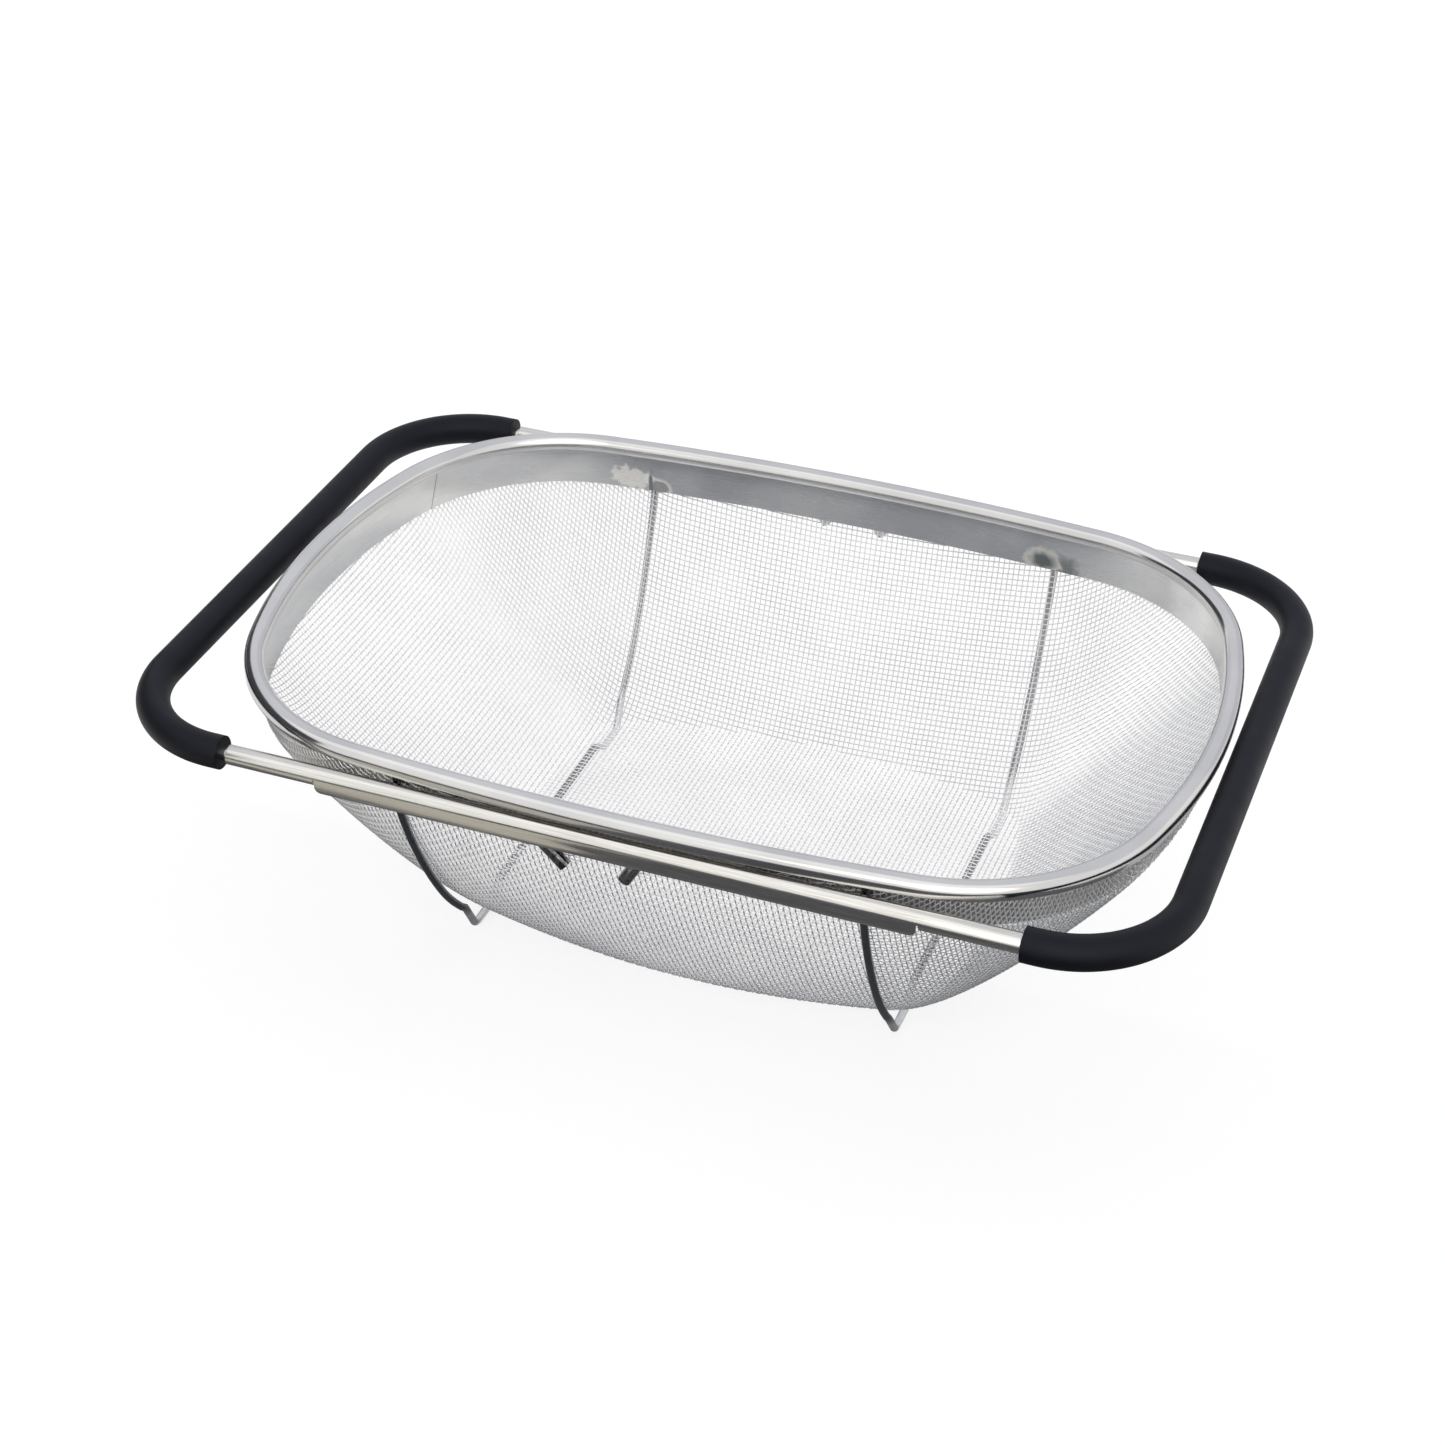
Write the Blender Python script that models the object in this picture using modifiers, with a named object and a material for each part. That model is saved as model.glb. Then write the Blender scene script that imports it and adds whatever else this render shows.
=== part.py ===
"""Over-the-sink strainer basket with two pull-out handles.

A wire cloth bowl hangs from a rolled steel rim and stands on two bent wire legs. Two
U-shaped rods with rubber grips slide in a pair of slotted sleeves under the lip.
+X is to the right, +Y to the back, +Z up. The origin lies on the ground, under the middle
of the whole object with its left handle drawn out a little. All lengths are in metres.
"""
import math

import bpy
import bmesh
from mathutils import Matrix, Vector

# Clearances between pieces and the overrun of every cut
TOUCH_GAP = 0.0003
CUT_OVERRUN = 0.002

# Rim: plan of the middle of the rolled lip, an oval of three arcs in each quarter
OVERALL_HEIGHT = 0.1136
RIM_HALF_LENGTH = 0.1807
RIM_HALF_WIDTH = 0.1243
RIM_SIDE_RADIUS = 1.1
RIM_END_RADIUS = 0.231
RIM_CORNER_RADIUS = 0.0775

# Rim: section of the strip
SHEET_THICKNESS = 0.0005
LIP_RADIUS = 0.0038
SKIRT_DROP = 0.002
BAND_SETBACK = 0.0004
BAND_DEPTH = 0.0172

# Wire cloth bowl, as a shell with the real outer form. A plain grid of openings stands for
# its meshes, and the bars between them for the wires.
MESH_THICKNESS = 0.0006
MESH_BAR_WIDTH = 0.0026
MESH_TUCK = 0.0015
FLOOR_HEIGHT = 0.009
FLOOR_HALF_LENGTH = 0.098
FLOOR_HALF_WIDTH = 0.0793
FLOOR_SIDE_RADIUS = 0.3
FLOOR_END_RADIUS = 0.25
FLOOR_CORNER_RADIUS = 0.0226
FLOOR_RIGHT_OF_MIDDLE = 0.005
SIDE_DRAFT_SHARE = 0.385
SIDE_ROUND_POWER = 1.285
END_DRAFT_SHARE = 0.655
END_ROUND_POWER = 1.3

# Legs, one bent wire each
LEG_WIRE_RADIUS = 0.0015
LEG_TOP_OFFSET = 0.0875
LEG_FOOT_OFFSET = 0.0854
LEGS_RIGHT_OF_MIDDLE = 0.001
LEG_BOW = 0.0028
LEG_TOP_BELOW_LIP_CENTRE = 0.002
LEG_LEAVES_MESH_HEIGHT = 0.0145
LEG_BEND_RADIUS = 0.004
FOOT_HEEL = 0.0705
FOOT_TOE = 0.0575
FOOT_RISE_END = 0.047

# Sleeves, rolled strip: round tube at both ends, open underneath between
SLEEVE_UNDER_SKIRT = 0.0022
SLEEVE_RADIUS = 0.0037
SLEEVE_WALL = 0.0007
SLEEVE_CLOSED_END = 0.0351
SLEEVES_LEFT_OF_MIDDLE = 0.0027
SLOT_WALL_DROP = 0.005
SLOT_WALL_SETBACK = 0.0006
SLOT_CORNER_RADIUS = 0.0024

# Handle rods, one U-shaped wire each, the inner ends bent down as stops
ROD_RADIUS = 0.0025
HANDLE_FINGER_GAP = 0.0034
HANDLE_CORNER_RADIUS = 0.0414
LONG_LEG_END = 0.0058
SHORT_LEG_END = 0.014
STOP_ANGLE = math.radians(45.0)
STOP_BEND_RADIUS = 0.006
STOP_DROP = 0.0135
LEFT_REST_DRAW = 0.0025

# Rubber grips
GRIP_RADIUS = 0.0063
GRIP_STRAIGHT_END = 0.0049
GRIP_BORE_CLEARANCE = 0.0003
GRIP_EDGE_ROUND = 0.0006

# Sizes that follow
LIP_CENTRE_HEIGHT = OVERALL_HEIGHT - LIP_RADIUS
SHEET_RADIUS = LIP_RADIUS - SHEET_THICKNESS / 2
BAND_OUTSET = BAND_SETBACK - SHEET_RADIUS
MESH_OUTSET = BAND_OUTSET + SHEET_THICKNESS / 2 + TOUCH_GAP + MESH_THICKNESS
MESH_TOP = LIP_CENTRE_HEIGHT - MESH_TUCK
BAND_FOOT = LIP_CENTRE_HEIGHT - BAND_DEPTH
SLEEVE_HEIGHT = LIP_CENTRE_HEIGHT - SKIRT_DROP - SLEEVE_UNDER_SKIRT - SLEEVE_RADIUS
SLEEVE_OFFSET = RIM_HALF_WIDTH + MESH_OUTSET + TOUCH_GAP + SLEEVE_RADIUS
HANDLE_REACH = RIM_HALF_LENGTH + LIP_RADIUS + HANDLE_FINGER_GAP + GRIP_RADIUS
GRIP_END = HANDLE_REACH - HANDLE_CORNER_RADIUS - GRIP_STRAIGHT_END
SLEEVE_HALF_LENGTH = GRIP_END - TOUCH_GAP
SLOT_HALF_LENGTH = SLEEVE_HALF_LENGTH - SLEEVE_CLOSED_END
BASKET_MIDDLE = SLEEVES_LEFT_OF_MIDDLE + LEFT_REST_DRAW / 2

# Steps of the facets, in counts
END_ARC_STEPS = 3
CORNER_ARC_STEPS = 9
SIDE_ARC_STEPS = 4
LIP_STEPS = 8
HANDLE_CORNER_STEPS = 8
STOP_BEND_STEPS = 4
WIRE_BEND_STEPS = 3
LEG_WALL_STEPS = 9
EIGHT_SIDES = 2
TWELVE_SIDES = 4
SIXTEEN_SIDES = 6
SLEEVE_SIDES = 24
SLOT_CORNER_STEPS = 5

# Grid of the bowl, in counts: steps to an opening in each arc, rows of openings down the
# wall with the steps down each, and the openings along and across the floor
END_STEPS_TO_OPENING = 1
CORNER_STEPS_TO_OPENING = 3
SIDE_STEPS_TO_OPENING = 1
WALL_ROW_STEPS = (1, 2, 3)
FLOOR_COLUMNS = 6
FLOOR_ROWS = 5

# Ends of the rows as shares of a quarter turn whose sine is the share of the depth, with
# half a bar on the same scale
WALL_ROW_END_SHARES = (0.0, 0.25, 0.5, 1.0)
HALF_BAR_SHARE = 0.01

# Turn of an eight-sided wire that brings a flat side down, and the shading and bevel angles
FLAT_SIDE_DOWN = math.pi / 8
SMOOTH_BELOW = math.radians(40.0)
BEVEL_ABOVE = math.radians(60.0)
MERGE_DISTANCE = 0.000001


def arc(centre, radius, start, end, steps, steps_to_opening=1, bar_width=0.0):
    """Points of an arc in the plane, both ends included. With bars, a point that a bar
    crosses gives way to the bar's two edges."""
    half_bar = bar_width / 2 / radius
    angles = []
    for step in range(steps + 1):
        angle = start + (end - start) * step / steps
        if bar_width and step % steps_to_opening == 0:
            edges = (angle - half_bar, angle + half_bar)
            angles += [edge for edge in edges if start < edge < end]
        else:
            angles.append(angle)
    return [(centre[0] + radius * math.cos(a), centre[1] + radius * math.sin(a)) for a in angles]


def oval(half_length, half_width, side_radius, end_radius, corner_radius, outset=0.0,
         bar_width=0.0):
    """Closed outline, three arcs to a quarter: end, corner and side meet tangentially."""
    side_centre = Vector((0.0, half_width - side_radius))
    end_centre = Vector((half_length - end_radius, 0.0))
    between = end_centre - side_centre
    span = between.length
    side_reach = side_radius - corner_radius
    end_reach = end_radius - corner_radius
    along = (side_reach ** 2 - end_reach ** 2 + span ** 2) / (2 * span)
    across = math.sqrt(side_reach ** 2 - along ** 2)
    normal = Vector((between.y, -between.x)) / span
    corner_centre = side_centre + between * along / span + normal * across
    to_side = corner_centre - side_centre
    to_end = corner_centre - end_centre
    side_angle = math.atan2(to_side.y, to_side.x)
    end_angle = math.atan2(to_end.y, to_end.x)
    quarter = arc(end_centre, end_radius + outset, 0.0, end_angle,
                  END_ARC_STEPS, END_STEPS_TO_OPENING, bar_width)
    quarter += arc(corner_centre, corner_radius + outset, end_angle, side_angle,
                   CORNER_ARC_STEPS, CORNER_STEPS_TO_OPENING, bar_width)
    quarter += arc(side_centre, side_radius + outset, side_angle, math.pi / 2,
                   SIDE_ARC_STEPS, SIDE_STEPS_TO_OPENING, bar_width)
    back_half = quarter + [(-x, y) for x, y in reversed(quarter)]
    outline = back_half + [(x, -y) for x, y in reversed(back_half)]
    befores = outline[-1:] + outline
    return [here for before, here in zip(befores, outline) if math.dist(before, here) > MERGE_DISTANCE]


def rim_outline(outset=0.0):
    """Plan of the lip's middle, moved outwards by the outset."""
    return oval(RIM_HALF_LENGTH, RIM_HALF_WIDTH, RIM_SIDE_RADIUS, RIM_END_RADIUS,
                RIM_CORNER_RADIUS, outset)


def blend(first, second, share):
    return first + (second - first) * share


def wall_inset(depth_share, draft_share, power):
    """Share of the way in at a share of the depth: part straight draft, part round."""
    round_in = 1.0 - max(0.0, 1.0 - depth_share ** power) ** (1.0 / power)
    return draft_share * depth_share + (1.0 - draft_share) * round_in


def mesh_section(depth_share, bar_width=0.0):
    """Outer outline and height of the bowl at a share of the depth below the band."""
    side = wall_inset(depth_share, SIDE_DRAFT_SHARE, SIDE_ROUND_POWER)
    end = wall_inset(depth_share, END_DRAFT_SHARE, END_ROUND_POWER)
    outline = oval(
        blend(RIM_HALF_LENGTH + MESH_OUTSET, FLOOR_HALF_LENGTH, end),
        blend(RIM_HALF_WIDTH + MESH_OUTSET, FLOOR_HALF_WIDTH, side),
        blend(RIM_SIDE_RADIUS + MESH_OUTSET, FLOOR_SIDE_RADIUS, depth_share),
        blend(RIM_END_RADIUS + MESH_OUTSET, FLOOR_END_RADIUS, depth_share),
        blend(RIM_CORNER_RADIUS + MESH_OUTSET, FLOOR_CORNER_RADIUS, depth_share),
        bar_width=bar_width)
    outline = [(x + FLOOR_RIGHT_OF_MIDDLE * depth_share, y) for x, y in outline]
    return outline, blend(BAND_FOOT, FLOOR_HEIGHT, depth_share)


def half_width_at(outline, x):
    """How far back an outline reaches at a distance along X."""
    back = sorted(point for point in outline if point[1] > 0.0)
    for (x0, y0), (x1, y1) in zip(back, back[1:]):
        if x0 <= x <= x1:
            return blend(y0, y1, (x - x0) / (x1 - x0))
    return 0.0


def rounded_path(corners, radius, steps):
    """A path through corners with each inner corner turned into an arc."""
    path = [corners[0]]
    for before, corner, after in zip(corners, corners[1:], corners[2:]):
        inward = (corner - before).normalized()
        outward = (after - corner).normalized()
        turn = inward.angle(outward)
        trim = radius * math.tan(turn / 2)
        start = corner - inward * trim
        centre_line = (outward - inward).normalized()
        centre = corner + centre_line * (radius / math.cos(turn / 2))
        axis = inward.cross(outward).normalized()
        for step in range(steps + 1):
            swing = Matrix.Rotation(turn * step / steps, 3, axis)
            path.append(centre + swing @ (start - centre))
    path.append(corners[-1])
    return path


def new_material(name, colour, metallic, roughness):
    material = bpy.data.materials.new(name)
    material.use_nodes = True
    shader = material.node_tree.nodes["Principled BSDF"]
    shader.inputs["Base Color"].default_value = (*colour, 1.0)
    shader.inputs["Metallic"].default_value = metallic
    shader.inputs["Roughness"].default_value = roughness
    material.diffuse_color = (*colour, 1.0)
    return material


def add_object(name, data, collection, material=None, parent=None):
    item = bpy.data.objects.new(name, data)
    collection.objects.link(item)
    item.parent = parent
    if material:
        data.materials.append(material)
    return item


def curve_data(name, points, cyclic=False, tilt=0.0):
    data = bpy.data.curves.new(name, "CURVE")
    data.dimensions = "3D"
    spline = data.splines.new("POLY")
    spline.points.add(len(points) - 1)
    for point, place in zip(spline.points, points):
        point.co = (*place, 1.0)
        point.tilt = tilt
    spline.use_cyclic_u = cyclic
    return data


def mesh_from_curve(item):
    """Turns a curve object into a mesh object with its caps welded on."""
    bpy.context.view_layer.update()
    evaluated = item.evaluated_get(bpy.context.evaluated_depsgraph_get())
    mesh = bpy.data.meshes.new_from_object(evaluated)
    shape = bmesh.new()
    shape.from_mesh(mesh)
    bmesh.ops.remove_doubles(shape, verts=shape.verts, dist=MERGE_DISTANCE)
    bmesh.ops.recalc_face_normals(shape, faces=shape.faces)
    shape.to_mesh(mesh)
    shape.free()
    name = item.name
    collection = item.users_collection[0]
    parent = item.parent
    place = item.matrix_world.copy()
    bpy.data.objects.remove(item)
    solid = bpy.data.objects.new(name, mesh)
    collection.objects.link(solid)
    solid.parent = parent
    solid.matrix_world = place
    return solid


def shade_round(item):
    item.data.shade_smooth()
    item.data.set_sharp_from_angle(angle=SMOOTH_BELOW)


def bent_wire(name, path, radius, resolution, collection, material, parent=None, tilt=0.0,
              capped=True):
    """A round wire or tube skin along a path."""
    data = curve_data(name, path, tilt=tilt)
    data.bevel_depth = radius
    data.bevel_resolution = resolution
    data.use_fill_caps = capped
    wire = mesh_from_curve(add_object(name, data, collection, material, parent))
    shade_round(wire)
    return wire


def apply_boolean(item, tool, operation):
    modifier = item.modifiers.new(f"{operation.lower()}_{tool.name}", "BOOLEAN")
    modifier.operation = operation
    modifier.solver = "EXACT"
    modifier.object = tool
    tool.hide_render = True
    tool.display_type = "WIRE"


def build_rim(collection, guides, steel):
    """Strip section swept round the oval: band, rolled lip and skirt."""
    crease_angle = math.pi + math.acos(-BAND_OUTSET / SHEET_RADIUS)
    band = [(BAND_OUTSET, -BAND_DEPTH)]
    lip = arc((0.0, 0.0), SHEET_RADIUS, crease_angle, 0.0, LIP_STEPS)
    skirt = [(SHEET_RADIUS, -SKIRT_DROP)]
    section = [(x, y, 0.0) for x, y in band + lip + skirt]
    profile = add_object("rim_section", curve_data("rim_section", section), guides)
    profile.hide_render = True
    profile.display_type = "WIRE"
    outline = [(x, y, LIP_CENTRE_HEIGHT) for x, y in rim_outline()]
    path = curve_data("rim", outline, cyclic=True)
    path.twist_mode = "Z_UP"
    path.bevel_mode = "OBJECT"
    path.bevel_object = profile
    rim = mesh_from_curve(add_object("rim", path, collection, steel))
    wall = rim.modifiers.new("sheet", "SOLIDIFY")
    wall.thickness = SHEET_THICKNESS
    wall.offset = 0.0
    wall.use_even_offset = True
    shade_round(rim)


def open_columns():
    """For each facet round the bowl, whether it lies in an opening and not in a bar."""
    quarter = []
    for steps, steps_to_opening in ((END_ARC_STEPS, END_STEPS_TO_OPENING),
                                    (CORNER_ARC_STEPS, CORNER_STEPS_TO_OPENING),
                                    (SIDE_ARC_STEPS, SIDE_STEPS_TO_OPENING)):
        quarter += (steps // steps_to_opening) * ([True] * steps_to_opening + [False])
    back_half = quarter + quarter[-2::-1] + [False]
    return 2 * back_half


def wall_levels():
    """Depth shares of the bowl's rings, each with whether openings follow below it."""
    levels = []
    last_row = len(WALL_ROW_STEPS) - 1
    for row, steps in enumerate(WALL_ROW_STEPS):
        first = WALL_ROW_END_SHARES[row] + (HALF_BAR_SHARE if row > 0 else 0.0)
        last = WALL_ROW_END_SHARES[row + 1] - (HALF_BAR_SHARE if row < last_row else 0.0)
        for step in range(steps + 1):
            turn_share = blend(first, last, step / steps)
            levels.append((math.sin(math.pi / 2 * turn_share), step < steps))
    return levels


def cut_floor_grid(shape, floor):
    """Parts the floor along the edges of its bars and takes out what lies between them."""
    bars = []
    for axis, half_span, count, middle in (
            (Vector((1.0, 0.0, 0.0)), FLOOR_HALF_LENGTH, FLOOR_COLUMNS, FLOOR_RIGHT_OF_MIDDLE),
            (Vector((0.0, 1.0, 0.0)), FLOOR_HALF_WIDTH, FLOOR_ROWS, 0.0)):
        bars += [(axis, middle + half_span * (2 * index / count - 1)) for index in range(1, count)]
    faces = [floor]
    for axis, place in bars:
        for edge in (place - MESH_BAR_WIDTH / 2, place + MESH_BAR_WIDTH / 2):
            points = {point for face in faces for point in face.verts}
            lines = {line for face in faces for line in face.edges}
            cut = bmesh.ops.bisect_plane(shape, geom=[*points, *lines, *faces], dist=MERGE_DISTANCE,
                                         plane_co=axis * edge, plane_no=axis)
            faces = [item for item in cut["geom"] if isinstance(item, bmesh.types.BMFace)]
    openings = []
    for face in faces:
        centre = face.calc_center_median()
        if all(abs(centre.dot(axis) - place) > MESH_BAR_WIDTH / 2 for axis, place in bars):
            openings.append(face)
    bmesh.ops.delete(shape, geom=openings, context="FACES")


def build_mesh_basket(collection, wire_cloth):
    """Loft through ovals that change from the rim's plan to the squarer floor, left open
    between the bars of its grid."""
    top_outline, top_height = mesh_section(0.0, MESH_BAR_WIDTH)
    rings = [[(x, y, MESH_TOP) for x, y in top_outline]]
    open_rows = [False]
    for depth_share, opens_below in wall_levels():
        outline, height = mesh_section(depth_share, MESH_BAR_WIDTH)
        rings.append([(x, y, height) for x, y in outline])
        open_rows.append(opens_below)
    shape = bmesh.new()
    loops = [[shape.verts.new(point) for point in ring] for ring in rings]
    columns = open_columns()
    for upper, lower, row_opens in zip(loops, loops[1:], open_rows):
        for here, column_opens in enumerate(columns):
            if not (row_opens and column_opens):
                after = (here + 1) % len(columns)
                shape.faces.new((upper[here], lower[here], lower[after], upper[after]))
    floor = shape.faces.new(reversed(loops[-1]))
    floor.normal_update()
    bmesh.ops.inset_individual(shape, faces=[floor], thickness=MESH_BAR_WIDTH, use_even_offset=True)
    cut_floor_grid(shape, floor)
    data = bpy.data.meshes.new("mesh_basket")
    shape.to_mesh(data)
    shape.free()
    basket = add_object("mesh_basket", data, collection, wire_cloth)
    wall = basket.modifiers.new("cloth", "SOLIDIFY")
    wall.thickness = MESH_THICKNESS
    wall.offset = -1.0
    wall.use_even_offset = True
    shade_round(basket)


def leg_x(side, height):
    """Place of a leg along X: both legs lean a little outwards towards the rim."""
    offset = blend(LEG_FOOT_OFFSET, LEG_TOP_OFFSET, height / LIP_CENTRE_HEIGHT)
    return LEGS_RIGHT_OF_MIDDLE + side * offset


def leg_half_path(side):
    """Back half of a leg's centre line before it leans, from the band to mid-floor."""
    facet_height = LEG_WIRE_RADIUS * math.cos(FLAT_SIDE_DOWN)
    stand_off = LEG_WIRE_RADIUS + TOUCH_GAP
    foot_x = leg_x(side, 0.0)
    top_height = LIP_CENTRE_HEIGHT - LEG_TOP_BELOW_LIP_CENTRE
    start_width = half_width_at(mesh_section(0.0)[0], leg_x(side, top_height)) + stand_off
    path = [Vector((foot_x, start_width, top_height))]
    last_share = (BAND_FOOT - LEG_LEAVES_MESH_HEIGHT) / (BAND_FOOT - FLOOR_HEIGHT)
    for step in range(LEG_WALL_STEPS + 1):
        share = last_share * step / LEG_WALL_STEPS
        outline, height = mesh_section(share)
        x = leg_x(side, height)
        width = half_width_at(outline, x)
        lower_outline, lower_height = mesh_section(min(share + last_share / LEG_WALL_STEPS, 1.0))
        run = width - half_width_at(lower_outline, x)
        slope = math.hypot(run, height - lower_height) / (height - lower_height)
        bow = LEG_BOW * math.sin(math.pi / 2 * step / LEG_WALL_STEPS)
        path.append(Vector((foot_x, width + stand_off * slope + bow, height)))
    under_floor = FLOOR_HEIGHT - TOUCH_GAP - facet_height
    foot = [path[-1], Vector((foot_x, FOOT_HEEL, facet_height)),
            Vector((foot_x, FOOT_TOE, facet_height)), Vector((foot_x, FOOT_RISE_END, under_floor)),
            Vector((foot_x, 0.0, under_floor))]
    return path[:-1] + rounded_path(foot, LEG_BEND_RADIUS, WIRE_BEND_STEPS)


def build_leg(name, side, collection, steel):
    half = leg_half_path(side)
    front_half = [Vector((point.x, -point.y, point.z)) for point in reversed(half[:-1])]
    leg = bent_wire(name, half + front_half, LEG_WIRE_RADIUS, EIGHT_SIDES, collection, steel,
                    tilt=FLAT_SIDE_DOWN)
    foot_x = leg_x(side, 0.0)
    for vertex in leg.data.vertices:
        vertex.co.x += leg_x(side, vertex.co.z) - foot_x


def add_cylinder(name, radius, length, collection, material=None):
    """Round bar along X, centred on the origin."""
    shape = bmesh.new()
    turn = Matrix.Rotation(math.pi / 2, 4, "Y")
    bmesh.ops.create_cone(shape, cap_ends=True, segments=SLEEVE_SIDES, radius1=radius,
                          radius2=radius, depth=length, matrix=turn)
    data = bpy.data.meshes.new(name)
    shape.to_mesh(data)
    shape.free()
    return add_object(name, data, collection, material)


def add_box(name, size, centre, collection):
    shape = bmesh.new()
    place = Matrix.Translation(centre) @ Matrix.Diagonal((*size, 1.0))
    bmesh.ops.create_cube(shape, size=1.0, matrix=place)
    data = bpy.data.meshes.new(name)
    shape.to_mesh(data)
    shape.free()
    return add_object(name, data, collection)


def slot_walls(name, collection):
    """Plate with round lower corners: the straight walls of the open stretch, still solid."""
    half = SLOT_HALF_LENGTH - SLOT_WALL_SETBACK
    lower = SLOT_CORNER_RADIUS - SLOT_WALL_DROP
    outline = [(-half, 0.0)]
    outline += arc((SLOT_CORNER_RADIUS - half, lower), SLOT_CORNER_RADIUS,
                   math.pi, math.pi * 1.5, SLOT_CORNER_STEPS)
    outline += arc((half - SLOT_CORNER_RADIUS, lower), SLOT_CORNER_RADIUS,
                   math.pi * 1.5, math.pi * 2, SLOT_CORNER_STEPS)
    outline.append((half, 0.0))
    data = curve_data(name, [(x, y, 0.0) for x, y in outline], cyclic=True)
    data.dimensions = "2D"
    data.fill_mode = "BOTH"
    data.extrude = SLEEVE_RADIUS
    plate = add_object(name, data, collection)
    plate.matrix_world = Matrix.Rotation(math.pi / 2, 4, "X")
    return mesh_from_curve(plate)


def build_sleeve(name, y, collection, cutters, steel):
    """Round tube joined with the slot walls, then bored and slotted from below."""
    length = 2 * SLEEVE_HALF_LENGTH
    bore_radius = SLEEVE_RADIUS - SLEEVE_WALL
    sleeve = add_cylinder(name, SLEEVE_RADIUS, length, collection, steel)
    walls = slot_walls(f"{name}_walls", cutters)
    bore = add_cylinder(f"{name}_bore", bore_radius, length + CUT_OVERRUN, cutters)
    slot_depth = SLOT_WALL_DROP + CUT_OVERRUN
    slot = add_box(f"{name}_slot", (2 * SLOT_HALF_LENGTH, 2 * bore_radius, slot_depth),
                   (0.0, 0.0, -slot_depth / 2), cutters)
    apply_boolean(sleeve, walls, "UNION")
    apply_boolean(sleeve, bore, "DIFFERENCE")
    apply_boolean(sleeve, slot, "DIFFERENCE")
    for item in (sleeve, walls, bore, slot):
        place = Matrix.Translation((-SLEEVES_LEFT_OF_MIDDLE, y, SLEEVE_HEIGHT))
        item.matrix_world = place @ item.matrix_world
    shade_round(sleeve)


def stop_end(end_x, y):
    """Inner end of a rod's leg: the straight leg, the bend and the bent-down stop."""
    bend_drop = STOP_BEND_RADIUS * (1.0 - math.cos(STOP_ANGLE))
    stub = (STOP_DROP - bend_drop) / math.sin(STOP_ANGLE)
    run = STOP_BEND_RADIUS * math.sin(STOP_ANGLE) + stub * math.cos(STOP_ANGLE)
    bend_x = end_x + run
    points = [Vector((end_x, y, -STOP_DROP))]
    for step in range(STOP_BEND_STEPS, -1, -1):
        turn = STOP_ANGLE * step / STOP_BEND_STEPS
        points.append(Vector((bend_x - STOP_BEND_RADIUS * math.sin(turn), y,
                              STOP_BEND_RADIUS * (math.cos(turn) - 1.0))))
    return points


def handle_bow(start_x):
    """The U of a handle from the front leg round to the back leg, on the rod's axis."""
    corners = [Vector((start_x, -SLEEVE_OFFSET, 0.0)),
               Vector((HANDLE_REACH, -SLEEVE_OFFSET, 0.0)),
               Vector((HANDLE_REACH, SLEEVE_OFFSET, 0.0)),
               Vector((start_x, SLEEVE_OFFSET, 0.0))]
    return rounded_path(corners, HANDLE_CORNER_RADIUS, HANDLE_CORNER_STEPS)


def build_handle(side, slide, collection, steel, rubber):
    """A rod and its grip, in the frame of the slide that they move with."""
    front = stop_end(LONG_LEG_END, -SLEEVE_OFFSET)
    back = stop_end(SHORT_LEG_END, SLEEVE_OFFSET)
    rod_path = front + handle_bow(GRIP_END)[1:-1] + list(reversed(back))
    bent_wire(f"{side}_handle_rod", rod_path, ROD_RADIUS, TWELVE_SIDES, collection, steel, slide)
    grip = bent_wire(f"{side}_grip", handle_bow(GRIP_END), GRIP_RADIUS, SIXTEEN_SIDES,
                     collection, rubber, slide, capped=False)
    wall = grip.modifiers.new("rubber_wall", "SOLIDIFY")
    wall.thickness = GRIP_RADIUS - ROD_RADIUS - GRIP_BORE_CLEARANCE
    wall.offset = -1.0
    wall.use_even_offset = True
    edge = grip.modifiers.new("soft_edge", "BEVEL")
    edge.width = GRIP_EDGE_ROUND
    edge.segments = 2
    edge.limit_method = "ANGLE"
    edge.angle_limit = BEVEL_ABOVE


def add_slide(name, collection, turn, x):
    """Empty on the slide axis, at the height of the sleeves."""
    slide = bpy.data.objects.new(name, None)
    collection.objects.link(slide)
    slide.empty_display_size = SLEEVE_OFFSET
    slide.rotation_euler = (0.0, 0.0, turn)
    slide.location = (x, 0.0, SLEEVE_HEIGHT)
    bpy.context.view_layer.update()
    return slide


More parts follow.
